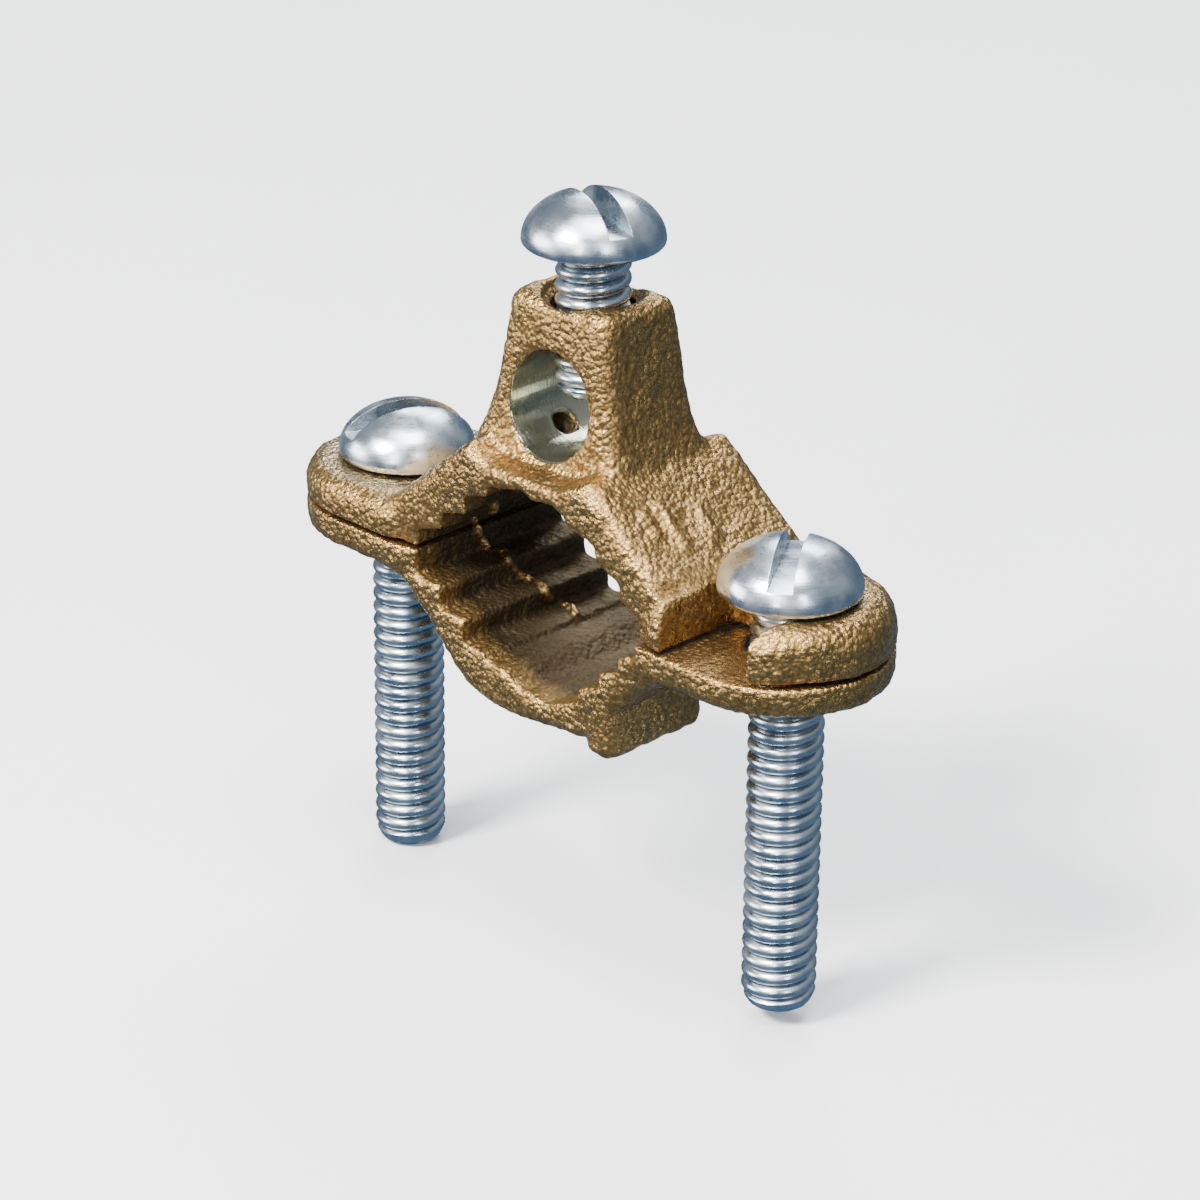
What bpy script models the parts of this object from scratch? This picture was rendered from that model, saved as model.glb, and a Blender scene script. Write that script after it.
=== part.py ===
"""Pipe ground clamp: two cast bronze jaws drawn together by two machine screws,
with a wire hole and a set screw in the tower of the upper jaw.

Frame: metres, +Z up. The origin is the middle of the pipe space. +Y runs along
the pipe, +X towards the ear that is slotted open, +Z towards the set screw.
"""

import math

import bmesh
import bpy
from mathutils import Matrix, Vector

MM = 0.001

# Driving dimensions, in millimetres.
SCREW_SPACING = 44.4
SCREW_X = SCREW_SPACING / 2
EAR_CENTRE_X = 21.5
EAR_RADIUS = 9.1
HALF_JAW_GAP = 0.15
SEAT_GAP = 0.3

# 1/4-20 thread, and the round slotted head that goes with it.
THREAD_RADIUS = 3.1
THREAD_ROOT_RADIUS = 2.42
THREAD_PITCH = 1.27
THREAD_STEPS = 12
HEAD_RADIUS = 5.85
HEAD_HEIGHT = 4.4
HEAD_RIM = 0.4
SLOT_WIDTH = 2.0
SLOT_DEPTH = 2.4
CLAMP_SCREW_LENGTH = 36.6
SET_SCREW_LENGTH = 12.7

# Clearance bores and cuts.
EAR_BORE_RADIUS = 3.5
TAPPED_BORE_RADIUS = 3.4
SLOT_HALF_WIDTH = 3.35
HEAD_CLEARANCE = 0.25
SPOT_FACE_RADIUS = 7.6
SPOT_FACE_DEPTH = 0.15

# Upper jaw.
LEFT_EAR_TOP = 3.1
RIGHT_EAR_TOP = 4.35
SADDLE_HALF_DEPTH = 8.5
BLOCK_FACE_X = 16.6
SADDLE_TOP = 11.6
HOOK_FRONT_Y = -8.2
SHELF_Z = 10.85
SHELF_TILT = 7.5
TOWER_TOP = 23.8
WIRE_HOLE_RADIUS = 4.5
WIRE_HOLE_Z = 15.1
SET_SCREW_MOUTH_RADIUS = 4.1
SET_SCREW_MOUTH_DEPTH = 0.9
SET_SCREW_HEAD_Z = 27.8

# Lower jaw.
LOWER_EAR_THICKNESS = 2.8
TROUGH_HALF_DEPTH = 8.7
RIB_X = (8.2, 11.2)
RIB_Y = (-8.9, 2.2)
RIB_BOTTOM = -11.6

# Where the serrated walls of the pipe space step inwards, left and right.
LEFT_RISERS = (12.0, 9.1, 6.3, 3.7)
UPPER_RIGHT_RISERS = (13.8, 11.4, 8.7, 5.4)
LOWER_RIGHT_RISERS = (13.7, 11.6, 9.5, 7.0)

PART_NAME = "ground_clamp"
ROUND_STEPS = 40


def clear_scene():
    for old in list(bpy.data.objects):
        bpy.data.objects.remove(old, do_unlink=True)


def make_collection(name):
    collection = bpy.data.collections.new(name)
    bpy.context.scene.collection.children.link(collection)
    return collection


clear_scene()
PARTS = make_collection(PART_NAME)
TOOLS = make_collection("shaping_tools")


def make_material(name, colour, roughness, metallic):
    material = bpy.data.materials.new(name)
    material.use_nodes = True
    shader = material.node_tree.nodes["Principled BSDF"]
    shader.inputs["Base Color"].default_value = (*colour, 1.0)
    shader.inputs["Roughness"].default_value = roughness
    shader.inputs["Metallic"].default_value = metallic
    return material


# ---------------------------------------------------------------- helpers

def to_object(bm, name, collection, smooth=True):
    """Finish a bmesh that was drawn in millimetres and link it."""
    bmesh.ops.scale(bm, vec=Vector((MM, MM, MM)), verts=bm.verts)
    bmesh.ops.recalc_face_normals(bm, faces=bm.faces)
    mesh = bpy.data.meshes.new(name)
    bm.to_mesh(mesh)
    bm.free()
    if smooth:
        mesh.shade_smooth()
        mesh.set_sharp_from_angle(angle=math.radians(35))
    item = bpy.data.objects.new(name, mesh)
    collection.objects.link(item)
    if collection is TOOLS:
        item.hide_render = True
        item.display_type = "WIRE"
    return item


def flat_plate(name, outline, low, high, upright=False, collection=None):
    """A flat outline given its thickness.

    Lying down, the outline is in X and Y and the thickness runs along Z.
    Upright, the outline is in X and Z and the thickness runs along Y.
    """
    curve = bpy.data.curves.new(name, "CURVE")
    curve.dimensions = "2D"
    curve.fill_mode = "BOTH"
    curve.extrude = (high - low) / 2
    spline = curve.splines.new("POLY")
    spline.points.add(len(outline) - 1)
    for point, (u, v) in zip(spline.points, outline):
        point.co = (u, v, 0.0, 1.0)
    spline.use_cyclic_u = True
    guide = bpy.data.objects.new(name, curve)
    TOOLS.objects.link(guide)
    evaluated = guide.evaluated_get(bpy.context.evaluated_depsgraph_get())
    mesh = bpy.data.meshes.new_from_object(evaluated)
    bpy.data.objects.remove(guide)
    bm = bmesh.new()
    bm.from_mesh(mesh)
    bmesh.ops.remove_doubles(bm, verts=bm.verts, dist=0.0001)
    bmesh.ops.dissolve_limit(bm, angle_limit=math.radians(0.5), verts=bm.verts, edges=bm.edges)
    middle = (low + high) / 2
    if upright:
        bmesh.ops.rotate(bm, matrix=Matrix.Rotation(math.pi / 2, 3, "X"), verts=bm.verts)
        bmesh.ops.translate(bm, vec=Vector((0, middle, 0)), verts=bm.verts)
    else:
        bmesh.ops.translate(bm, vec=Vector((0, 0, middle)), verts=bm.verts)
    return to_object(bm, name, collection or TOOLS)


def box(name, low, high, collection=None):
    bm = bmesh.new()
    bmesh.ops.create_cube(bm, size=1.0)
    size = [b - a for a, b in zip(low, high)]
    centre = [(a + b) / 2 for a, b in zip(low, high)]
    bmesh.ops.scale(bm, vec=Vector(size), verts=bm.verts)
    bmesh.ops.translate(bm, vec=Vector(centre), verts=bm.verts)
    return to_object(bm, name, collection or TOOLS)


def cylinder(name, radius, low, high, x=0.0, top_radius=None, along="Z"):
    """A cylinder or cone from low to high along Z, or along Y."""
    bm = bmesh.new()
    bmesh.ops.create_cone(
        bm, cap_ends=True, segments=ROUND_STEPS, depth=high - low,
        radius1=radius, radius2=top_radius or radius,
    )
    bmesh.ops.translate(bm, vec=Vector((0, 0, (low + high) / 2)), verts=bm.verts)
    if along == "Y":
        bmesh.ops.rotate(bm, matrix=Matrix.Rotation(math.pi / 2, 3, "X"), verts=bm.verts)
    bmesh.ops.translate(bm, vec=Vector((x, 0, 0)), verts=bm.verts)
    return to_object(bm, name, TOOLS)


def bevel(item, width, segments=2):
    modifier = item.modifiers.new("rounded_edges", "BEVEL")
    modifier.width = width * MM
    modifier.segments = segments
    modifier.limit_method = "ANGLE"
    modifier.angle_limit = math.radians(35)


def join(item, other):
    modifier = item.modifiers.new("join_" + other.name, "BOOLEAN")
    modifier.operation = "UNION"
    modifier.object = other


def cut(item, tool):
    modifier = item.modifiers.new("cut_" + tool.name, "BOOLEAN")
    modifier.operation = "DIFFERENCE"
    modifier.object = tool


def arc(centre, radius, start, end, steps):
    """Points along an arc; angles in degrees from +X."""
    points = []
    for step in range(steps + 1):
        angle = math.radians(start + (end - start) * step / steps)
        points.append((centre[0] + radius * math.cos(angle), centre[1] + radius * math.sin(angle)))
    return points


def serrated_wall(risers, first_z, riser, rise):
    """A wall of the pipe space, going up: upright risers joined by sloping treads."""
    z = first_z
    points = [(risers[0], z)]
    for x in risers[1:]:
        z += rise
        points.append((x, z))
        z += riser
        points.append((x, z))
    return points


def pipe_space(right_wall, crown, left_wall):
    """The jaw's side of the pipe space, from its right foot over the crown to its left foot."""
    mouth = -6.0
    left = [(-x, z) for x, z in reversed(left_wall)]
    return [(right_wall[0][0], mouth)] + right_wall + crown + left + [(left[-1][0], mouth)]


# ---------------------------------------------------------------- castings

def ear_outline(side, inner_x):
    """An ear seen from above: round at its end, straight to inner_x."""
    centre = (side * EAR_CENTRE_X, 0.0)
    if side < 0:
        points = arc(centre, EAR_RADIUS, 90, 270, 18)
    else:
        points = arc(centre, EAR_RADIUS, -90, 90, 18)
    last_y = points[-1][1]
    return points + [(inner_x, last_y), (inner_x, -last_y)]


def tower_blank():
    """The tapering tower, drawn up in steps from its flared foot."""
    sections = (
        (9.6, 9.0, 6.0),
        (11.2, 8.1, 5.6),
        (13.0, 7.3, 5.3),
        (16.5, 6.5, 4.9),
        (TOWER_TOP, 5.5, 4.3),
    )
    bm = bmesh.new()
    foot_z, foot_x, foot_y = sections[0]
    bmesh.ops.create_grid(bm, x_segments=1, y_segments=1, size=1.0)
    bmesh.ops.scale(bm, vec=Vector((foot_x, foot_y, 1)), verts=bm.verts)
    bmesh.ops.translate(bm, vec=Vector((0, 0, foot_z)), verts=bm.verts)
    top = list(bm.faces)
    half = (foot_x, foot_y)
    height = foot_z
    for z, half_x, half_y in sections[1:]:
        grown = bmesh.ops.extrude_face_region(bm, geom=top, use_keep_orig=height == foot_z)
        verts = [g for g in grown["geom"] if isinstance(g, bmesh.types.BMVert)]
        if height != foot_z:
            bmesh.ops.delete(bm, geom=[f for f in top if f.is_valid], context="FACES_ONLY")
        bmesh.ops.translate(bm, vec=Vector((0, 0, z - height)), verts=verts)
        bmesh.ops.scale(bm, vec=Vector((half_x / half[0], half_y / half[1], 1)), verts=verts)
        top = [g for g in grown["geom"] if isinstance(g, bmesh.types.BMFace)]
        half = (half_x, half_y)
        height = z
    tower = to_object(bm, "tower_blank", TOOLS)
    bevel(tower, 1.2, 3)
    return tower


def swing_path(name, radius, low, high):
    """What a cylinder about the slotted ear's screw sweeps as the jaw swings clear.

    The path is an arc about the other screw, run out past the front of the ear.
    """
    pivot = (-SCREW_X, 0.0)
    out_angle = -25.0
    outer = arc(pivot, SCREW_SPACING + radius, out_angle, 0, 8)
    inner = arc(pivot, SCREW_SPACING - radius, 0, out_angle, 8)
    closed_end = arc((SCREW_X, 0.0), radius, 0, 180, 16)[1:-1]
    return flat_plate(name, outer + closed_end + inner, low, high)


def build_upper_jaw(bronze):
    foot_z = -4.0
    outline = [
        (BLOCK_FACE_X, foot_z), (BLOCK_FACE_X, 4.5), (13.0, 7.1), (9.0, 10.4), (7.2, SADDLE_TOP),
        (-5.2, SADDLE_TOP), (-6.6, 10.9), (-15.0, 4.0), (-BLOCK_FACE_X, 3.2), (-BLOCK_FACE_X, foot_z),
    ]
    jaw = flat_plate("upper_jaw", outline, -SADDLE_HALF_DEPTH, SADDLE_HALF_DEPTH, True, PARTS)
    bevel(jaw, 1.1)
    for side, label, top, rounding in ((-1, "left", LEFT_EAR_TOP, 1.7), (1, "right", RIGHT_EAR_TOP, 2.6)):
        rough_top = top + SPOT_FACE_DEPTH
        ear = flat_plate(label + "_ear_blank", ear_outline(side, side * 13.6), foot_z - 1.2, rough_top)
        bevel(ear, rounding, 4)
        join(jaw, ear)
    cut(jaw, box("upper_parting_cut", (-40, -15, -10), (40, 15, HALF_JAW_GAP)))
    right_wall = serrated_wall(UPPER_RIGHT_RISERS, 1.9, 1.3, 1.0)
    left_wall = serrated_wall(LEFT_RISERS, 1.65, 1.5, 0.8)
    crown = [(3.4, 8.6), (1.6, 8.3), (0.2, 8.8), (-1.8, 8.3)]
    space = pipe_space(right_wall[:-1] + [(5.4, 8.0)], crown, left_wall[:-1] + [(3.7, 7.85)])
    cut(jaw, flat_plate("upper_pipe_space", space, -12, 12, True))
    shelf = [(-4.2, SHELF_Z), (4.2, SHELF_Z), (9.6, 13.5), (-9.6, 13.5)]
    for side, label in ((-1, "front"), (1, "back")):
        near, far = sorted((side * 3.5, side * 12.0))
        shelf_cut = flat_plate(label + "_shelf_cut", shelf, near, far, True)
        shelf_cut.rotation_euler.x = math.radians(-side * SHELF_TILT)
        cut(jaw, shelf_cut)
    join(jaw, tower_blank())

    bore_low, bore_high = -5.0, 12.0
    cut(jaw, cylinder("left_ear_bore", EAR_BORE_RADIUS, bore_low, bore_high, -SCREW_X))
    cut(jaw, cylinder("left_spot_face", SPOT_FACE_RADIUS, LEFT_EAR_TOP, bore_high, -SCREW_X))
    cut(jaw, swing_path("open_slot", SLOT_HALF_WIDTH, bore_low, bore_high))
    cut(jaw, swing_path("head_path", HEAD_RADIUS + HEAD_CLEARANCE, RIGHT_EAR_TOP, bore_high))
    hook_front = [
        (BLOCK_FACE_X, -12), (36, -12), (36, 0.0), (30.8, -0.8), (29.4, -3.8), (27.3, -6.8),
        (25.4, HOOK_FRONT_Y), (22.0, HOOK_FRONT_Y + 0.2), (22.0, -0.4), (BLOCK_FACE_X, -0.4),
    ]
    cut(jaw, flat_plate("hook_front_cut", hook_front, bore_low, bore_high))

    wire_hole = cylinder("wire_hole", WIRE_HOLE_RADIUS, -12, 12, along="Y")
    wire_hole.location.z = WIRE_HOLE_Z * MM
    cut(jaw, wire_hole)
    cut(jaw, cylinder("set_screw_bore", TAPPED_BORE_RADIUS, WIRE_HOLE_Z, TOWER_TOP + 2))
    mouth_low = TOWER_TOP - SET_SCREW_MOUTH_DEPTH
    cut(jaw, cylinder("set_screw_mouth", SET_SCREW_MOUTH_RADIUS, mouth_low, TOWER_TOP + 2))
    jaw.data.materials.append(bronze)
    return jaw


def build_lower_jaw(bronze):
    top_z = 4.0
    outline = [
        (16.4, top_z), (16.4, -LOWER_EAR_THICKNESS), (14.0, -4.3), (10.0, -8.4), (8.0, -10.8),
        (3.0, -11.2), (-1.0, -11.5), (-4.4, -11.2), (-6.5, -10.3), (-8.2, -8.8), (-10.7, -6.1),
        (-13.4, -3.8), (-16.4, -LOWER_EAR_THICKNESS), (-16.4, top_z),
    ]
    jaw = flat_plate("lower_jaw", outline, -TROUGH_HALF_DEPTH, TROUGH_HALF_DEPTH, True, PARTS)
    bevel(jaw, 0.9)
    for side, label in ((-1, "left"), (1, "right")):
        ear = flat_plate(
            label + "_lower_ear_blank", ear_outline(side, side * 13.2), -LOWER_EAR_THICKNESS, top_z
        )
        bevel(ear, 0.9)
        join(jaw, ear)
    rib = box("foot_rib_blank", (RIB_X[0], RIB_Y[0], RIB_BOTTOM), (RIB_X[1], RIB_Y[1], -5.0))
    bevel(rib, 0.7)
    join(jaw, rib)

    cut(jaw, box("lower_parting_cut", (-40, -15, -HALF_JAW_GAP), (40, 15, 10)))
    right_wall = serrated_wall(LOWER_RIGHT_RISERS, 1.2, 1.2, 0.9)
    left_wall = serrated_wall(LEFT_RISERS, 2.4, 2.0, 0.15)
    crown = [(5.2, 8.2), (3.6, 8.9), (2.0, 8.6), (0.7, 8.7), (-1.4, 7.6)]
    space = pipe_space(right_wall, crown, left_wall[:-1] + [(3.7, 7.3)])
    cut(jaw, flat_plate("lower_pipe_space", [(x, -z) for x, z in space], -12, 12, True))
    for side, label in ((-1, "left"), (1, "right")):
        cut(jaw, cylinder(label + "_tapped_bore", TAPPED_BORE_RADIUS, -8, 5, side * SCREW_X))
    jaw.data.materials.append(bronze)
    return jaw


# ---------------------------------------------------------------- screws

def threaded_shank(bm, low, high):
    """One helical surface from low to high along Z, closed by flat ends."""
    turns = math.ceil((high - low) / THREAD_PITCH) + 3
    start = low - 1.5 * THREAD_PITCH
    profile = ((THREAD_ROOT_RADIUS, 0.0), (THREAD_RADIUS, 0.5), (THREAD_ROOT_RADIUS, 1.0))
    verts = [bm.verts.new((radius, 0.0, start + part * THREAD_PITCH)) for radius, part in profile]
    edges = [bm.edges.new(pair) for pair in zip(verts, verts[1:])]
    bmesh.ops.spin(
        bm, geom=verts + edges, cent=(0, 0, 0), axis=(0, 0, 1),
        dvec=(0, 0, THREAD_PITCH / THREAD_STEPS), angle=math.tau * turns, steps=THREAD_STEPS * turns,
    )
    bmesh.ops.remove_doubles(bm, verts=bm.verts, dist=0.001)
    for height, outward in ((low, -1), (high, 1)):
        sliced = bmesh.ops.bisect_plane(
            bm, geom=list(bm.verts) + list(bm.edges) + list(bm.faces),
            plane_co=(0, 0, height), plane_no=(0, 0, outward), clear_outer=True,
        )
        rim = [g for g in sliced["geom_cut"] if isinstance(g, bmesh.types.BMEdge)]
        bmesh.ops.contextual_create(bm, geom=rim)


def head_profile(head_z):
    """The round head's outline, from the middle of its crown out and down to its seat.

    The crown is half an ellipse, so that the sides stand nearly upright at the rim.
    """
    crown = HEAD_HEIGHT - HEAD_RIM
    steps = 9
    points = [(0.0, head_z + HEAD_HEIGHT)]
    for step in range(1, steps + 1):
        angle = math.pi / 2 * step / steps
        points.append((HEAD_RADIUS * math.sin(angle), head_z + HEAD_RIM + crown * math.cos(angle)))
    points.append((HEAD_RADIUS - 0.3, head_z))
    points.append((0.0, head_z))
    return points


def build_screw(name, x, head_z, length, zinc, slot_turn):
    """A slotted round-head machine screw standing on its own axis at x."""
    bm = bmesh.new()
    threaded_shank(bm, head_z - length, head_z + 1.0)
    screw = to_object(bm, name, PARTS)

    bm = bmesh.new()
    verts = [bm.verts.new((radius, 0.0, z)) for radius, z in head_profile(head_z)]
    edges = [bm.edges.new(pair) for pair in zip(verts, verts[1:])]
    bmesh.ops.spin(
        bm, geom=verts + edges, cent=(0, 0, 0), axis=(0, 0, 1),
        angle=math.tau, steps=ROUND_STEPS, use_merge=True,
    )
    bmesh.ops.remove_doubles(bm, verts=bm.verts, dist=0.001)
    head = to_object(bm, name + "_head_blank", TOOLS)
    join(screw, head)

    half_width = SLOT_WIDTH / 2
    slot_floor = head_z + HEAD_HEIGHT - SLOT_DEPTH
    slot = box(name + "_driver_slot", (-8, -half_width, slot_floor), (8, half_width, head_z + 8))
    slot.rotation_euler.z = math.radians(slot_turn)
    cut(screw, slot)

    axis = Vector((x * MM, 0, 0))
    for item in (screw, head, slot):
        item.location += axis
    screw.data.materials.append(zinc)
    return screw


# ---------------------------------------------------------------- assembly

BRONZE = make_material("cast_bronze", (0.36, 0.22, 0.09), 0.45, 0.9)
ZINC = make_material("zinc_plated_steel", (0.62, 0.64, 0.66), 0.3, 1.0)

build_lower_jaw(BRONZE)
build_upper_jaw(BRONZE)
for side, label, ear_top, slot_turn in (
    (-1, "left", LEFT_EAR_TOP, 66.6), (1, "right", RIGHT_EAR_TOP, 123.0)
):
    seat_z = ear_top + SEAT_GAP
    build_screw(label + "_clamp_screw", side * SCREW_X, seat_z, CLAMP_SCREW_LENGTH, ZINC, slot_turn)
build_screw("set_screw", 0.0, SET_SCREW_HEAD_Z, SET_SCREW_LENGTH, ZINC, 159.3)
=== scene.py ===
"""Ground clamp, finished: two sand-cast bronze jaws and three zinc-plated screws.

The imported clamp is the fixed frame. Its castings are copied, given rounded cast edges
and a sand-cast skin, and its screws are made again with fine rolled threads.
Lengths in the tables below are in millimetres, in the frame's own axes.
"""

import math

import bmesh
import bpy
import numpy as np
from mathutils import Matrix, Vector


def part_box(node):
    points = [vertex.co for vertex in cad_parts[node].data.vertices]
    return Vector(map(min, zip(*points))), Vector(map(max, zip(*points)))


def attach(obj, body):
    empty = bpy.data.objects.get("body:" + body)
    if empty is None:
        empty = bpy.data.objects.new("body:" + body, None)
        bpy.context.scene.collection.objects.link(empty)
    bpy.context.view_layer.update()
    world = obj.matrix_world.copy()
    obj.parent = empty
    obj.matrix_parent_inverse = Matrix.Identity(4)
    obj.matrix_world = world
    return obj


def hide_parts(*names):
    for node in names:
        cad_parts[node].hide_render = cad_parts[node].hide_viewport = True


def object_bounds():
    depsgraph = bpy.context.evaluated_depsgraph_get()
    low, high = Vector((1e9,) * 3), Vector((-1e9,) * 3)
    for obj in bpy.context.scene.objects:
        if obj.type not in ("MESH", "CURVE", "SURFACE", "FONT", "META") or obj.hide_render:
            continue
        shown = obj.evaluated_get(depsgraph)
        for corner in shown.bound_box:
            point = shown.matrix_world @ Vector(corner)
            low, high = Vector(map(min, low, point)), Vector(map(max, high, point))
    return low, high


MM = 0.001

# Where things are on the clamp.
SCREW_X = 22.2
WIRE_HOLE_RADIUS = 4.5
WIRE_HOLE_Z = 15.1
LEFT_SEAT_Z = 3.1
RIGHT_SEAT_Z = 4.35
SPOT_FACE_RADIUS = 7.6
HEAD_PATH_RADIUS = 6.1
EAR_BORE_RADIUS = 3.5
TAPPED_BORE_RADIUS = 3.4
TOWER_MOUTH_RADIUS = 5.4
PIPE_MIDDLE_X = 0.9
PIPE_SPACE_REACH = 14.6

# Rolled 1/4-20 thread and the round slotted head.
THREAD_RADIUS = 3.1
THREAD_ROOT_RADIUS = 2.5
THREAD_PITCH = 1.27
THREAD_STEPS = 40
THREAD_ROWS = 8
CREST_FULLNESS = 0.62
TIP_RADIUS = 2.25
TIP_FLARE = 0.95
TIP_LENGTH = 1.7
HEAD_RADIUS = 5.85
HEAD_HEIGHT = 4.4
HEAD_RIM = 0.4
HEAD_STEPS = 112
CROWN_STEPS = 22
SLOT_WIDTH = 2.0
SLOT_DEPTH = 2.4
SLOT_EDGE_WEAR = 0.13

# How each driver slot stands, in degrees from the clamp's length.
LEFT_SLOT_TURN = 66.6
RIGHT_SLOT_TURN = 123.0
SET_SCREW_SLOT_TURN = 159.3

# Cast skin: the mesh it is made on, and rounds of smoothing for the mesh's own steps, for
# the cast edges, and for the broad shape that worn edges are measured against.
GRAIN_MESH = 0.21
STEP_ROUNDS = 2
EDGE_ROUNDS = 30
BROAD_ROUNDS = 60
LOWER_SEED = 21
UPPER_SEED = 51

# The sand's grain and waviness: how far each layer stands out, and its features' size.
SAND_LAYERS = ((0.07, 0.6), (0.04, 0.36), (0.06, 1.7), (0.07, 5.0))

# The gas pit in the wall of the wire hole.
PIT_PLACE = (-3.1, -0.2, 11.35)
PIT_RADIUS = 1.15

# Plain raised bars on the right slope, each by x, y and length.
RAISED_BARS = ((11.6, -5.0, 2.6), (12.2, -3.1, 4.6), (12.6, 0.2, 3.0))
BAR_WIDTH = 0.75
BAR_DEPTH = 1.2
SLOPE_START = (9.0, 10.4)
SLOPE_RISE = 3.3
SLOPE_RUN = 4.0

# The ragged joint line of the sand core, inside the pipe space: its place along the pipe
# at each height.
FLASH_HEIGHTS = (-9.0, -7.0, -5.0, -2.0, 0.0, 3.0, 8.0)
FLASH_PLACES = (2.5, 2.7, 1.0, -0.5, -1.5, -2.3, -3.0)

# Where the camera stands.
VIEW_AZIMUTH = 44.83
VIEW_ELEVATION = 24.08
VIEW_ROLL = 0.63
VIEW_DISTANCE = 350.0
VIEW_SHIFT_RIGHT = 0.81
VIEW_SHIFT_UP = -3.11
VIEW_LENS = 127.7

# From the screw tips down to the floor, in metres.
FLOOR_GAP = 0.0002

# Colours of the room around the clamp.
ROOM_BELOW = (0.14, 0.24, 0.38, 1)
ROOM_LEVEL = (0.13, 0.19, 0.26, 1)
ROOM_ABOVE = (0.55, 0.58, 0.62, 1)

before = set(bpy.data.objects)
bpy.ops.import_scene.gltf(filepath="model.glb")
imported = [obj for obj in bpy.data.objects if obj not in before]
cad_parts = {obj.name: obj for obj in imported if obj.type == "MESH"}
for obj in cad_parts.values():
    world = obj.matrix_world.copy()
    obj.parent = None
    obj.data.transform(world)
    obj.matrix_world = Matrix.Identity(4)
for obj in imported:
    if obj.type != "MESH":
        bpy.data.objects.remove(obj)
CAD_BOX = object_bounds()


# ---------------------------------------------------------------- shaders

class Value:
    """A socket of a material, so that shader maths reads as Python."""

    def __init__(self, finish, socket):
        self.finish = finish
        self.socket = socket

    def maths(self, operation, other, swapped=False):
        """A Math node on this value and another, in either order."""
        pair = (other, self) if swapped else (self, other)
        return self.finish.node("ShaderNodeMath", {"operation": operation}, dict(enumerate(pair)))

    def __add__(self, other):
        return self.maths("ADD", other)

    def __sub__(self, other):
        return self.maths("SUBTRACT", other)

    def __mul__(self, other):
        return self.maths("MULTIPLY", other)

    def __radd__(self, other):
        return self.maths("ADD", other, True)

    def __rsub__(self, other):
        return self.maths("SUBTRACT", other, True)

    def __rmul__(self, other):
        return self.maths("MULTIPLY", other, True)


class Finish:
    """A material and the one method that adds nodes to it."""

    def __init__(self, name):
        self.material = bpy.data.materials.new(name)
        self.material.use_nodes = True
        self.tree = self.material.node_tree
        self.shader = self.tree.nodes["Principled BSDF"]

    def node(self, kind, settings=None, sockets=None, output=0):
        """A node with its settings, then its sockets' values or links; gives one output."""
        node = self.tree.nodes.new(kind)
        for key, value in (settings or {}).items():
            setattr(node, key, value)
        for key, value in (sockets or {}).items():
            self.feed(node.inputs[key], value)
        return Value(self, node.outputs[output])

    def feed(self, slot, value):
        """Link a value to a node's socket, or write a plain number or colour there."""
        if isinstance(value, Value):
            self.tree.links.new(value.socket, slot)
        else:
            slot.default_value = value

    def set(self, **values):
        """Set or link the shader's own sockets, spaces in their names as underscores."""
        for key, value in values.items():
            self.feed(self.shader.inputs[key.replace("_", " ")], value)

    def place(self, offset=(0, 0, 0), scale=(1, 1, 1)):
        """Object coordinates, moved and stretched."""
        coordinates = self.node("ShaderNodeTexCoord", output="Object")
        return self.node(
            "ShaderNodeMapping", None,
            {"Vector": coordinates, "Location": offset, "Scale": scale},
        )

    def noise(self, size, detail=2.0, rough=0.5, vector=None):
        """Soft noise whose features are about size millimetres across."""
        sockets = {
            "Vector": vector or self.place(), "Scale": 1 / (size * MM),
            "Detail": detail, "Roughness": rough,
        }
        return self.node("ShaderNodeTexNoise", None, sockets, "Fac")

    def cells(self, size):
        """Rounded cells about size millimetres across: 0 in their middles."""
        sockets = {"Vector": self.place(), "Scale": 1 / (size * MM)}
        return self.node("ShaderNodeTexVoronoi", {"feature": "F1"}, sockets, "Distance")

    def span(self, value, low, high, to_low=0.0, to_high=1.0):
        """Value carried smoothly from low..high to to_low..to_high, and held at the ends."""
        sockets = {"Value": value, 1: low, 2: high, 3: to_low, 4: to_high}
        return self.node("ShaderNodeMapRange", {"interpolation_type": "SMOOTHSTEP"}, sockets)

    def mix(self, factor, first, second):
        """A colour between first and second."""
        sockets = {0: factor, 6: first, 7: second}
        return self.node("ShaderNodeMix", {"data_type": "RGBA"}, sockets, 2)

    def mask(self, name):
        """A number painted on the mesh, 0 to 1."""
        return self.node("ShaderNodeAttribute", {"attribute_name": name}, None, "Fac")

    def bump(self, height, strength, distance):
        """Fine relief, distance millimetres deep where height goes from 0 to 1."""
        sockets = {"Height": height, "Strength": strength, "Distance": distance * MM}
        return self.node("ShaderNodeBump", None, sockets)


def rgb(red, green, blue):
    """A colour given as it looks on a screen, 0 to 255, turned linear."""
    linear = [((c / 255 + 0.055) / 1.055) ** 2.4 for c in (red, green, blue)]
    return (*linear, 1.0)


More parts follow.
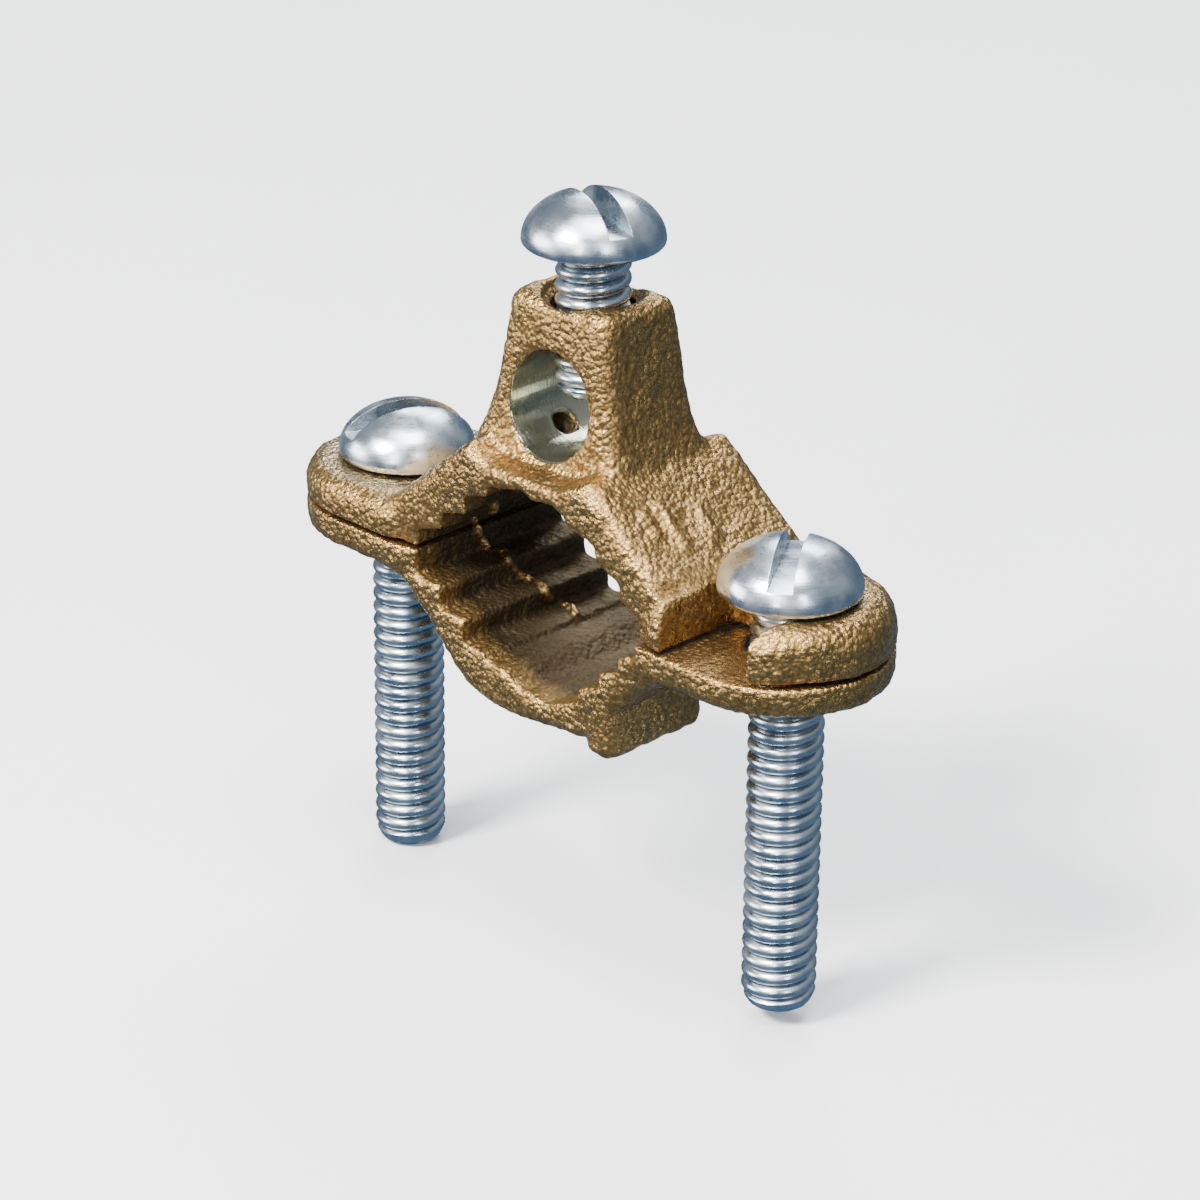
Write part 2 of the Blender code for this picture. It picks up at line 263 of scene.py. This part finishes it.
def cast_bronze():
    """Sand-cast bronze: grainy, golden on its high spots, with brown painted shade in its hollows
    and in the pipe space.
    """
    finish = Finish("sand_cast_bronze")
    worn = finish.mask("worn")
    # hollow: painted shade in hollows and in the gas pit.
    hollow = finish.mask("hollow")
    machined = finish.mask("machined")
    # pipe_side: painted shade on the walls of the pipe space, which also makes them rougher.
    bore = finish.mask("pipe_side")
    grain = finish.cells(0.44)
    fine = finish.noise(0.17, 3.0, 0.6)
    blotch = finish.noise(4.5, 4.0, 0.62)
    speckle = finish.noise(0.45, 3.0, 0.7)

    brown = rgb(138, 108, 64)
    tan = rgb(178, 143, 88)
    gold = rgb(224, 188, 120)
    # Painted shade: dark brown for hollows and the gas pit.
    painted_hollow_shade = rgb(78, 60, 36)
    # Painted shade: a darker brown for the pipe space and the gas pit.
    painted_pipe_shade = rgb(72, 62, 46)
    drilled_grey = rgb(158, 164, 164)
    drilled_brass = rgb(184, 176, 132)

    tone = finish.span(speckle + 0.35 * (blotch - 0.5) + 0.3 * (0.45 - grain), 0.3, 0.7)
    skin = finish.mix(tone, brown, tan)
    skin = finish.mix(finish.span(worn + 1.1 * (speckle - 0.5), 0.35, 0.95), skin, gold)
    # Painted shade: hollows and the gas pit are darkened.
    hollow_shade_amount = finish.span(hollow + 0.5 * (blotch - 0.5), 0.25, 0.9, 0.0, 0.7)
    skin = finish.mix(hollow_shade_amount, skin, painted_hollow_shade)
    # Painted shade: the walls of the pipe space are darkened, more so further in.
    pipe_shade_amount = finish.span(bore + 0.5 * (blotch - 0.5), 0.2, 0.8, 0.0, 0.92)
    skin = finish.mix(pipe_shade_amount, skin, painted_pipe_shade)
    cut = finish.mix(finish.noise(1.6, 2.0), drilled_grey, drilled_brass)
    sheen = finish.span(blotch + 0.8 * (fine - 0.5), 0.3, 0.7, 0.36, 0.24)

    rings = finish.noise(1.0, 2.0, 0.5, finish.place(scale=(0.35, 9.0, 0.35)))
    cast_height = (0.66 * (1 - grain) + 0.24 * fine + 0.42 * speckle) * (1 - machined)
    finish.set(
        Metallic=0.96,
        Base_Color=finish.mix(machined, skin, cut),
        Roughness=sheen + 0.3 * bore - 0.13 * machined,
        Normal=finish.bump(cast_height + 0.14 * rings * machined, 1.0, 0.19),
    )
    return finish.material


def zinc_plate(name, axis_x):
    """Bright zinc on steel, with fine turned streaks about the screw's own axis and painted shade
    in its thread roots and wherever it is close to the axis.
    """
    finish = Finish(name)
    local = finish.place(offset=(-axis_x * MM, 0, 0))
    across = finish.node("ShaderNodeSeparateXYZ", None, {0: local})
    along = Value(finish, across.socket.node.outputs[1])
    height = Value(finish, across.socket.node.outputs[2])
    squares = across * across + along * along
    radius = finish.node("ShaderNodeMath", {"operation": "SQRT"}, {0: squares})
    angle = finish.node("ShaderNodeMath", {"operation": "ARCTAN2"}, {0: along, 1: across})
    streaks_per_metre = 5200.0
    turned = finish.node(
        "ShaderNodeCombineXYZ", None,
        {0: radius * streaks_per_metre, 1: angle * 1.6, 2: height * streaks_per_metre},
    )
    sockets = {"Vector": turned, "Scale": 1.0, "Detail": 3.0}
    streaks = finish.node("ShaderNodeTexNoise", None, sockets, "Fac")
    haze = finish.noise(2.6, 3.0, 0.55, local)
    pits = finish.noise(0.22, 2.0, 0.6, local)
    # Painted shade: darker within 2.5 to 2.8 mm of the axis, so in the thread roots, at the tip
    # and in the middle of the head.
    root_shade = finish.span(radius, 2.46 * MM, 2.8 * MM, 1.0, 0.0)

    grey_zinc = rgb(178, 188, 198)
    pale_zinc = rgb(206, 213, 218)
    streak_grey = rgb(142, 152, 162)
    # Painted shade for the thread roots.
    painted_root_shade = rgb(96, 102, 106)
    plate = finish.mix(finish.span(haze, 0.35, 0.68), grey_zinc, pale_zinc)
    plate = finish.mix(finish.span(streaks, 0.5, 0.85, 0.0, 0.35), plate, streak_grey)
    finish.set(
        Metallic=1.0,
        Base_Color=finish.mix(root_shade * 0.35, plate, painted_root_shade),
        Roughness=finish.span(haze + 0.35 * (streaks - 0.5), 0.3, 0.75, 0.22, 0.38),
        Normal=finish.bump(0.7 * streaks + 0.3 * pits, 0.3, 0.03),
    )
    return finish.material


# ---------------------------------------------------------------- meshes

def shown(item):
    """Put an object into the scene."""
    bpy.context.scene.collection.objects.link(item)
    return item


def finished(name, mesh, body, node, material):
    """A piece in its place, riding on its body and standing for its CAD node."""
    mesh.name = name
    mesh.materials.clear()
    mesh.materials.append(material)
    mesh.shade_smooth()
    piece = shown(bpy.data.objects.new(name, mesh))
    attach(piece, body)
    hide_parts(node)


def applied(item):
    """The item's mesh with its modifiers worked in; the item itself is removed."""
    bpy.context.view_layer.update()
    evaluated = item.evaluated_get(bpy.context.evaluated_depsgraph_get())
    mesh = bpy.data.meshes.new_from_object(evaluated)
    bpy.data.objects.remove(item)
    return mesh


def temporary(name, bm):
    """A work object from a bmesh drawn in metres."""
    mesh = bpy.data.meshes.new(name)
    bm.to_mesh(mesh)
    bm.free()
    return shown(bpy.data.objects.new(name, mesh))


def in_metres(bm):
    """A bmesh drawn in millimetres, brought to the frame's metres."""
    bmesh.ops.scale(bm, vec=Vector((MM, MM, MM)), verts=bm.verts)
    return bm


def boolean(item, other, operation):
    """Join or cut item with other, then drop other."""
    modifier = item.modifiers.new("shape", "BOOLEAN")
    modifier.operation = operation
    modifier.object = other
    mesh = applied(item)
    bpy.data.objects.remove(other)
    return shown(bpy.data.objects.new("shape", mesh))


def points(mesh):
    """Every vertex of the mesh in millimetres, one row each."""
    flat = np.zeros(len(mesh.vertices) * 3, np.float32)
    mesh.vertices.foreach_get("co", flat)
    return flat.reshape(-1, 3).astype(float) / MM


def directions(mesh):
    """Every vertex's outward direction, one row each."""
    flat = np.zeros(len(mesh.vertices) * 3, np.float32)
    mesh.vertices.foreach_get("normal", flat)
    return flat.reshape(-1, 3).astype(float)


def move_points(mesh, rows):
    """Put the vertices at these places, in millimetres."""
    mesh.vertices.foreach_set("co", (rows * MM).astype(np.float32).ravel())
    mesh.update()


def paint(mesh, name, values):
    """Keep a number from 0 to 1 on every vertex, for a material to read."""
    layer = mesh.attributes.new(name, "FLOAT", "POINT")
    layer.data.foreach_set("value", np.clip(values, 0, 1).astype(np.float32))


def ramp(values, low, high):
    """0 below low, 1 above high, smooth between."""
    share = np.clip((values - low) / (high - low), 0, 1)
    return share * share * (3 - 2 * share)


def smoothed(mesh, rounds, weights=None):
    """Where the vertices go after that many rounds of smoothing."""
    item = shown(bpy.data.objects.new("smoothing", mesh.copy()))
    modifier = item.modifiers.new("smooth", "SMOOTH")
    modifier.factor = 0.5
    modifier.iterations = rounds
    if weights is not None:
        group = item.vertex_groups.new(name="cast")
        steps = 10
        for step in range(1, steps + 1):
            chosen = np.nonzero(np.round(weights * steps) == step)[0]
            if len(chosen):
                group.add(chosen.tolist(), step / steps, "REPLACE")
        modifier.vertex_group = "cast"
    return points(applied(item))


def value_noise(rows, size, seed):
    """Soft noise between -1 and 1, its features about size millimetres across."""
    cells = 64
    table = np.random.default_rng(seed).uniform(-1, 1, (cells, cells, cells))
    scaled = rows / size + 1000.0
    base = np.floor(scaled).astype(int)
    part = scaled - base
    part = part * part * (3 - 2 * part)
    total = np.zeros(len(rows))
    for corner in range(8):
        step = np.array([corner & 1, corner >> 1 & 1, corner >> 2 & 1])
        weight = np.prod(np.where(step, part, 1 - part), axis=1)
        index = (base + step) % cells
        total += weight * table[index[:, 0], index[:, 1], index[:, 2]]
    return total


# ---------------------------------------------------------------- castings

def ring_distance(rows, x, z=None):
    """Distance from an upright axis at x, or from an axis along Y at x and z."""
    if z is None:
        return np.hypot(rows[:, 0] - x, rows[:, 1])
    return np.hypot(rows[:, 0] - x, rows[:, 2] - z)


def near(values, target, within):
    """1 at the target, falling to 0 a little past within."""
    return 1 - ramp(np.abs(values - target), within, within * 1.6)


def upper_machined(rows, normals):
    """Where the upper jaw was drilled or spot-faced after casting."""
    across, along, height = rows.T
    hole = near(ring_distance(rows, 0, WIRE_HOLE_Z), WIRE_HOLE_RADIUS, 0.17)
    hole *= ramp(0.6 - np.abs(normals[:, 1]), 0, 0.2) * ramp(7.5 - np.abs(along), 0, 0.5)

    left = ring_distance(rows, -SCREW_X)
    spot_face = near(height, LEFT_SEAT_Z, 0.12) * ramp(SPOT_FACE_RADIUS - left, -0.1, 0.1)
    spot_wall = near(left, SPOT_FACE_RADIUS, 0.16) * ramp(height, LEFT_SEAT_Z, LEFT_SEAT_Z + 0.2)
    spot_wall *= ramp(across, -SCREW_X, -SCREW_X + 2)
    drilled = near(left, EAR_BORE_RADIUS, 0.16)

    tapped = near(ring_distance(rows, 0), TAPPED_BORE_RADIUS, 0.2)
    tapped *= ramp(height, 18.5, 19.0) * ramp(22.8 - height, 0, 0.3)

    right = ring_distance(rows, SCREW_X)
    seat = near(height, RIGHT_SEAT_Z, 0.12) * ramp(HEAD_PATH_RADIUS - right, -0.1, 0.1)
    parts = [hole, 0.3 * spot_face, 0.45 * spot_wall, drilled, tapped, 0.3 * seat]
    return np.maximum.reduce(parts)


def lower_machined(rows, normals):
    """Where the lower jaw was drilled and tapped."""
    left = near(ring_distance(rows, -SCREW_X), TAPPED_BORE_RADIUS, 0.16)
    right = near(ring_distance(rows, SCREW_X), TAPPED_BORE_RADIUS, 0.16)
    return np.maximum(left, right)


def pipe_side(rows, normals):
    """The walls of the pipe space: they face its middle, and nothing else does."""
    across = rows[:, 0] - PIPE_MIDDLE_X
    reach = np.hypot(across, rows[:, 2])
    facing = -(across * normals[:, 0] + rows[:, 2] * normals[:, 2]) / np.maximum(reach, 0.1)
    inside = ramp(facing, -0.05, 0.3) * ramp(PIPE_SPACE_REACH - np.abs(across), 0, 0.5)
    return inside * ramp(10.2 - reach * 0.72, 0, 0.4) * (1 - ramp(np.abs(normals[:, 1]), 0.5, 0.8))


def raised_bars():
    """Three plain raised bars on the right slope, in place of cast marks."""
    slope = math.atan2(SLOPE_RISE, SLOPE_RUN)
    start_x, start_z = SLOPE_START
    sunk = 0.1
    bm = bmesh.new()
    for x, y, length in RAISED_BARS:
        z = start_z - (x - start_x) * math.tan(slope)
        made = bmesh.ops.create_cube(bm, size=1.0)["verts"]
        bmesh.ops.scale(bm, vec=Vector((length, BAR_WIDTH, BAR_DEPTH)), verts=made)
        bmesh.ops.rotate(bm, matrix=Matrix.Rotation(slope, 3, "Y"), verts=made)
        bmesh.ops.translate(bm, vec=Vector((x - sunk, y, z - sunk)), verts=made)
    return temporary("raised_bars", in_metres(bm))


def casting_pit():
    """A gas hole that the drill opened in the wall of the wire hole."""
    bm = bmesh.new()
    bmesh.ops.create_icosphere(bm, subdivisions=3, radius=PIT_RADIUS)
    for vert in bm.verts:
        spread = math.sin(5 * vert.co.x + 3 * vert.co.y) + math.sin(7 * vert.co.z + 4 * vert.co.y)
        vert.co *= 1 + 0.09 * spread
    bmesh.ops.translate(bm, vec=Vector(PIT_PLACE), verts=bm.verts)
    return temporary("casting_pit", in_metres(bm))


def even_copy(node, extras):
    """The CAD node's shape with its extras worked in, as one even fine mesh."""
    bm = bmesh.new()
    bm.from_mesh(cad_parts[node].data)
    bmesh.ops.remove_doubles(bm, verts=bm.verts, dist=1e-6)
    item = temporary(node + "_work", bm)
    for other, operation in extras:
        item = boolean(item, other, operation)
    modifier = item.modifiers.new("even_mesh", "REMESH")
    modifier.mode = "VOXEL"
    modifier.voxel_size = GRAIN_MESH * MM
    return applied(item)


def sand_skin(rows, seed):
    """How far the sand mould's grain and waviness push the surface out."""
    skin = np.zeros(len(rows))
    for layer, (amount, size) in enumerate(SAND_LAYERS):
        skin += amount * value_noise(rows, size, seed + layer)
    return skin


def core_flash(rows, inside, seed):
    """The ragged ridge that the sand core's joint left inside the pipe space."""
    wander = np.interp(rows[:, 2], FLASH_HEIGHTS, FLASH_PLACES)
    wander += 0.45 * value_noise(rows, 1.3, seed + 4)
    breadth = 0.5 + 0.2 * value_noise(rows, 2.0, seed + 6)
    ridge = np.exp(-((rows[:, 1] - wander) / breadth) ** 2) * inside
    ridge *= 0.36 + 0.34 * value_noise(rows, 0.7, seed + 5)
    ridge *= ramp(-2.5 - rows[:, 0], 0, 2) * ramp(rows[:, 2], -8.8, -7.8)
    return np.maximum(ridge, 0)


def casting(node, machined_where, seed, extras, material):
    """A casting with rounded edges and a sand skin, from its CAD node's shape."""
    mesh = even_copy(node, extras)
    rows = smoothed(mesh, STEP_ROUNDS)
    move_points(mesh, rows)
    machined = machined_where(rows, directions(mesh))
    inside = pipe_side(rows, directions(mesh))
    parting = near(rows[:, 2], 0.0, 0.3)
    softness = (1 - machined) * (1 - 0.7 * inside) * (1 - 0.6 * parting)
    rounded = smoothed(mesh, EDGE_ROUNDS, softness)
    move_points(mesh, rounded)
    normals = directions(mesh)
    stands_out = np.sum((rounded - smoothed(mesh, BROAD_ROUNDS)) * normals, axis=1)

    flash = core_flash(rounded, inside, seed)
    mouth = ramp(TOWER_MOUTH_RADIUS - ring_distance(rounded, 0), 0, 0.8)
    mouth *= ramp(rounded[:, 2], 21.5, 22.3)
    calm = (1 - machined) * (1 - 0.8 * parting) * (1 - 0.8 * mouth)
    push = sand_skin(rounded, seed) * calm + flash
    move_points(mesh, rounded + normals * push[:, None])

    pit = ramp(1.9 - np.linalg.norm(rounded - PIT_PLACE, axis=1), 0, 0.3)
    pit *= ramp(ring_distance(rounded, 0, WIRE_HOLE_Z) - WIRE_HOLE_RADIUS, 0.15, 0.35)
    # Painted shade in the pipe space: its walls get darker further in from the front, the gas pit
    # too, and the flash ridge gets less.
    depth = ramp(rounded[:, 1], -8.0, -3.5)
    paint(mesh, "machined", machined)
    paint(mesh, "pipe_side", inside * (0.35 + 0.65 * depth) * (1 - 2 * flash) + pit)
    paint(mesh, "worn", ramp(stands_out, 0.07, 0.4) * (1 - pit) + 1.3 * flash)
    # Painted shade in hollows and in the gas pit.
    paint(mesh, "hollow", ramp(-stands_out, 0.04, 0.3) + pit)
    finished("cast_" + node, mesh, node, node, material)


# ---------------------------------------------------------------- screws

def spun(outline, steps):
    """A closed turned body from its half outline, which starts and ends on the axis."""
    bm = bmesh.new()
    verts = [bm.verts.new((radius, 0.0, z)) for radius, z in outline]
    edges = [bm.edges.new(pair) for pair in zip(verts, verts[1:])]
    bmesh.ops.spin(
        bm, geom=verts + edges, cent=(0, 0, 0), axis=(0, 0, 1),
        angle=math.tau, steps=steps, use_merge=True,
    )
    bmesh.ops.remove_doubles(bm, verts=bm.verts, dist=0.001)
    bmesh.ops.recalc_face_normals(bm, faces=bm.faces)
    return bm


def rolled_thread(low, high):
    """A rolled thread with round crests, run out to a blunt point at its low end."""
    turns = math.ceil((high - low) / THREAD_PITCH) + 3
    start = low - 1.5 * THREAD_PITCH
    bm = bmesh.new()
    verts = []
    for step in range(THREAD_ROWS + 1):
        share = step / THREAD_ROWS
        crest = math.sin(math.pi * share) ** CREST_FULLNESS if 0 < step < THREAD_ROWS else 0.0
        radius = THREAD_ROOT_RADIUS + (THREAD_RADIUS - THREAD_ROOT_RADIUS) * crest
        verts.append(bm.verts.new((radius, 0.0, start + share * THREAD_PITCH)))
    edges = [bm.edges.new(pair) for pair in zip(verts, verts[1:])]
    bmesh.ops.spin(
        bm, geom=verts + edges, cent=(0, 0, 0), axis=(0, 0, 1),
        dvec=(0, 0, THREAD_PITCH / THREAD_STEPS),
        angle=math.tau * turns, steps=THREAD_STEPS * turns,
    )
    bmesh.ops.remove_doubles(bm, verts=bm.verts, dist=0.0005)
    for height, outward in ((low, -1), (high, 1)):
        sliced = bmesh.ops.bisect_plane(
            bm, geom=list(bm.verts) + list(bm.edges) + list(bm.faces),
            plane_co=(0, 0, height), plane_no=(0, 0, outward), clear_outer=True,
        )
        rim = [g for g in sliced["geom_cut"] if isinstance(g, bmesh.types.BMEdge)]
        bmesh.ops.contextual_create(bm, geom=rim)
    for vert in bm.verts:
        radius = math.hypot(vert.co.x, vert.co.y)
        rise = vert.co.z - low
        most = THREAD_RADIUS
        if rise < TIP_LENGTH:
            most = TIP_RADIUS + TIP_FLARE * math.sqrt(max(0.0, rise) / TIP_LENGTH)
        if radius > most:
            vert.co.x *= most / radius
            vert.co.y *= most / radius
    bmesh.ops.recalc_face_normals(bm, faces=bm.faces)
    return bm


def head_outline(head_z):
    """The round head from the top of its crown to the middle of its underside."""
    crown = HEAD_HEIGHT - HEAD_RIM
    outline = [(0.0, head_z + HEAD_HEIGHT)]
    for step in range(1, CROWN_STEPS + 1):
        angle = math.pi / 2 * step / CROWN_STEPS
        z = head_z + HEAD_RIM + crown * math.cos(angle)
        outline.append((HEAD_RADIUS * math.sin(angle), z))
    for inset, rise in ((0.05, 0.2), (0.2, 0.05), (0.35, 0.0)):
        outline.append((HEAD_RADIUS - inset, head_z + rise))
    return outline + [(3.6, head_z), (0.0, head_z)]


def driver_slot(head_z):
    """The slot's cutter: a long block whose underside is the slot's floor."""
    bm = bmesh.new()
    bmesh.ops.create_cube(bm, size=1.0)
    length = 16
    height = 6
    floor_z = head_z + HEAD_HEIGHT - SLOT_DEPTH
    bmesh.ops.scale(bm, vec=Vector((length, SLOT_WIDTH, height)), verts=bm.verts)
    bmesh.ops.translate(bm, vec=Vector((0, 0, floor_z + height / 2)), verts=bm.verts)
    return temporary("driver_slot", in_metres(bm))


def screw(node, axis_x, slot_turn, material):
    """A slotted round-head machine screw on its own axis."""
    low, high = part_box(node)
    tip = low.z / MM
    head_z = high.z / MM - HEAD_HEIGHT
    head = temporary("head", in_metres(spun(head_outline(head_z), HEAD_STEPS)))
    head = boolean(head, driver_slot(head_z), "DIFFERENCE")
    edge = head.modifiers.new("worn_edges", "BEVEL")
    edge.width = SLOT_EDGE_WEAR * MM
    edge.segments = 3
    edge.limit_method = "ANGLE"
    edge.angle_limit = math.radians(42)
    head = shown(bpy.data.objects.new("head", applied(head)))
    into_head = 0.8
    shank = temporary("shank", in_metres(rolled_thread(tip, head_z + into_head)))
    mesh = applied(boolean(shank, head, "UNION"))
    mesh.transform(Matrix.Rotation(math.radians(slot_turn), 4, "Z"))
    rows = points(mesh)
    lumps = 0.025 * value_noise(rows + 40 * axis_x, 2.4, 11)
    lumps += 0.012 * value_noise(rows + axis_x, 1.1, 12)
    rows += directions(mesh) * (lumps * ramp(rows[:, 2], head_z, head_z + 0.3))[:, None]
    move_points(mesh, rows)
    mesh.transform(Matrix.Translation(Vector((axis_x * MM, 0, 0))))
    finished("plated_" + node, mesh, node, node, material)
    mesh.set_sharp_from_angle(angle=math.radians(50))


# ---------------------------------------------------------------- assembly

BRONZE = cast_bronze()
casting("lower_jaw", lower_machined, LOWER_SEED, [], BRONZE)
UPPER_EXTRAS = [(raised_bars(), "UNION"), (casting_pit(), "DIFFERENCE")]
casting("upper_jaw", upper_machined, UPPER_SEED, UPPER_EXTRAS, BRONZE)
screw("left_clamp_screw", -SCREW_X, LEFT_SLOT_TURN, zinc_plate("zinc_on_left_screw", -SCREW_X))
screw("right_clamp_screw", SCREW_X, RIGHT_SLOT_TURN, zinc_plate("zinc_on_right_screw", SCREW_X))
screw("set_screw", 0.0, SET_SCREW_SLOT_TURN, zinc_plate("zinc_on_set_screw", 0.0))


# ---------------------------------------------------------------- studio

def view_axes():
    """The camera's right, up and backward directions."""
    azimuth = math.radians(VIEW_AZIMUTH)
    elevation = math.radians(VIEW_ELEVATION)
    roll = math.radians(VIEW_ROLL)
    back = Vector((
        math.sin(azimuth) * math.cos(elevation),
        -math.cos(azimuth) * math.cos(elevation),
        math.sin(elevation),
    ))
    right = Vector((math.cos(azimuth), math.sin(azimuth), 0))
    up = back.cross(right)
    target = VIEW_SHIFT_RIGHT * right + VIEW_SHIFT_UP * up
    turned_right = math.cos(roll) * right + math.sin(roll) * up
    turned_up = math.cos(roll) * up - math.sin(roll) * right
    return turned_right, turned_up, back, target


def make_camera():
    """The camera, turned to look at the clamp from above its right front."""
    right, up, back, target = view_axes()
    place = (target + VIEW_DISTANCE * back) * MM
    data = bpy.data.cameras.new("camera")
    data.sensor_width = 36
    data.lens = VIEW_LENS
    data.clip_start = 0.01
    data.clip_end = 20
    camera = shown(bpy.data.objects.new("camera", data))
    turned = Matrix((right, up, back)).transposed().to_4x4()
    camera.matrix_world = Matrix.Translation(place) @ turned
    bpy.context.scene.camera = camera


def softbox(name, azimuth, elevation, distance, size, power, colour):
    """A rectangular lamp facing the clamp from that direction, in metres and watts."""
    turn = math.radians(azimuth)
    lift = math.radians(elevation)
    level = math.cos(lift)
    aim = Vector((math.sin(turn) * level, -math.cos(turn) * level, math.sin(lift)))
    data = bpy.data.lights.new(name, "AREA")
    data.shape = "RECTANGLE"
    data.size, data.size_y = size
    data.energy = power
    data.color = colour
    lamp = shown(bpy.data.objects.new(name, data))
    lamp.location = aim * distance
    lamp.rotation_euler = aim.to_track_quat("Z", "Y").to_euler()


def make_floor(height):
    """A wide pale sheet under the screw tips, which the metal doesn't mirror."""
    bm = bmesh.new()
    bmesh.ops.create_grid(bm, x_segments=8, y_segments=8, size=2.5)
    bmesh.ops.translate(bm, vec=Vector((0, 0, height)), verts=bm.verts)
    floor = temporary("floor", bm)
    finish = Finish("pale_floor")
    shade = finish.noise(60.0, 2.0)
    paper = finish.mix(shade, rgb(240, 241, 243), rgb(246, 247, 248))
    finish.set(Base_Color=paper, Roughness=0.75)
    floor.data.materials.append(finish.material)
    floor.visible_glossy = False


def make_world():
    """A dim room: grey overhead, blue-grey at eye level and blue below."""
    world = bpy.data.worlds.new("room")
    world.use_nodes = True
    bpy.context.scene.world = world
    tree = world.node_tree
    direction = tree.nodes.new("ShaderNodeTexCoord")
    parts = tree.nodes.new("ShaderNodeSeparateXYZ")
    half = tree.nodes.new("ShaderNodeMath")
    half.operation = "MULTIPLY_ADD"
    half.inputs[1].default_value = 0.5
    half.inputs[2].default_value = 0.5
    colours = tree.nodes.new("ShaderNodeValToRGB")
    stops = colours.color_ramp.elements
    stops[0].position = 0.1
    stops[0].color = ROOM_BELOW
    stops[1].position = 0.95
    stops[1].color = ROOM_ABOVE
    stops.new(0.52).color = ROOM_LEVEL
    tree.links.new(direction.outputs["Generated"], parts.inputs[0])
    tree.links.new(parts.outputs[2], half.inputs[0])
    tree.links.new(half.outputs[0], colours.inputs[0])
    tree.links.new(colours.outputs[0], tree.nodes["Background"].inputs["Color"])


make_camera()
make_world()
make_floor(CAD_BOX[0].z - FLOOR_GAP)
softbox("key", -8, 46, 0.62, (0.17, 0.17), 11.0, (1.0, 0.97, 0.92))
softbox("left_low", -46, 10, 0.7, (0.34, 0.24), 3.6, (1.0, 0.97, 0.92))
softbox("front_left", 22, 22, 0.8, (0.07, 0.4), 2.6, (1.0, 1.0, 1.0))
softbox("front_right", 66, 24, 0.8, (0.07, 0.4), 2.0, (1.0, 1.0, 1.0))
softbox("rim", 215, 40, 0.7, (0.36, 0.2), 4.0, (0.9, 0.95, 1.0))
softbox("overhead", 60, 80, 0.8, (0.4, 0.4), 9.0, (1.0, 0.99, 0.97))
